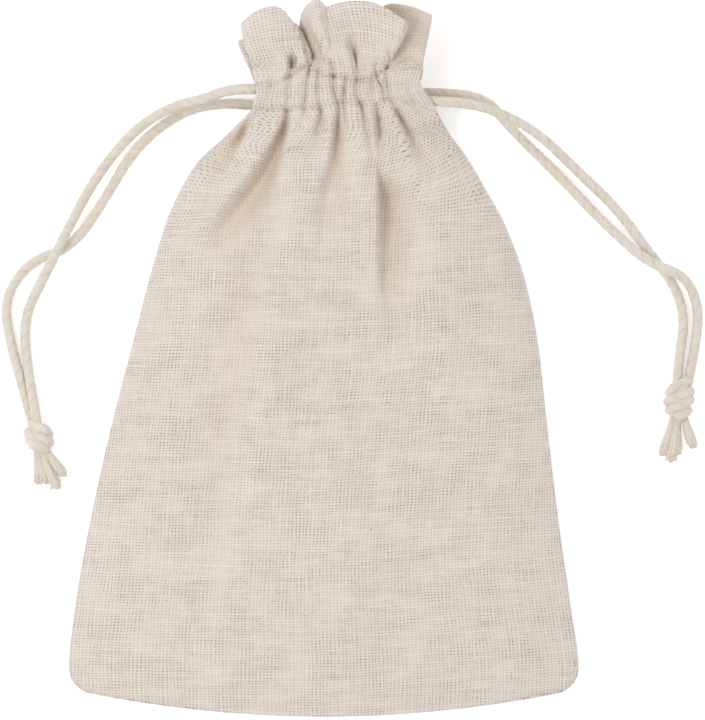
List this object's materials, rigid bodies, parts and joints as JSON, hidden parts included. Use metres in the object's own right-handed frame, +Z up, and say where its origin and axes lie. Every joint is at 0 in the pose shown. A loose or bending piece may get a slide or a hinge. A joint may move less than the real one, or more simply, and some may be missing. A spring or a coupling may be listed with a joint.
{
  "type": "fabric gift sack",
  "caption": "Small flat sack of loosely woven cotton, gathered at the neck by two twisted drawcords that run through a stitched casing and end in frayed knots.",
  "frame": {"origin": "on the surface that the sack lies on, under the middle of its bounding box without the cords", "axes": "+X across the sack, +Y from its bottom edge to its mouth, +Z up from the surface"},
  "size_m": [0.1379, 0.14, 0.0135],
  "materials": {
    "cloth": "natural unbleached plain weave",
    "seam_cloth": "pressed allowances of the same cloth",
    "thread": "cotton sewing thread",
    "cord": "soft two-ply twisted cotton"
  },
  "bodies": {
    "sack": {"front_panel": "cloth", "back_panel": "cloth", "left_side_seam": "seam_cloth", "right_side_seam": "seam_cloth", "bottom_seam": "seam_cloth", "front_casing": "cloth", "back_casing": "cloth", "back_heading": "cloth", "front_casing_lower_stitches": "thread", "front_casing_upper_stitches": "thread", "back_casing_lower_stitches": "thread", "back_casing_upper_stitches": "thread", "left_seam_stitches": "thread", "right_seam_stitches": "thread", "bottom_seam_stitches": "thread"},
    "front_frill": {"front_heading": "cloth"},
    "left_drawcord": {"left_cord_front_run": "cord", "left_cord_back_run": "cord", "left_cord_far_loop": "cord", "left_cord_upper_strand": "cord", "left_cord_lower_strand": "cord", "left_cord_knot": "cord", "left_cord_tassel": "cord"},
    "right_drawcord": {"right_cord_front_run": "cord", "right_cord_back_run": "cord", "right_cord_far_loop": "cord", "right_cord_upper_strand": "cord", "right_cord_lower_strand": "cord", "right_cord_knot": "cord", "right_cord_tassel": "cord"}
  },
  "joints": [
    {"name": "left_cord_pull", "type": "slide", "parent": "sack", "child": "left_drawcord", "axis": [-1, 0, 0], "range_m": [0, 0.006]},
    {"name": "right_cord_pull", "type": "slide", "parent": "sack", "child": "right_drawcord", "axis": [1, 0, 0], "range_m": [0, 0.006]},
    {"name": "front_frill_fold", "type": "hinge", "parent": "sack", "child": "front_frill", "pos_m": [0.002, 0.0564, 0.0134], "axis": [1, 0, 0], "range_deg": [0, 60]}
  ]
}
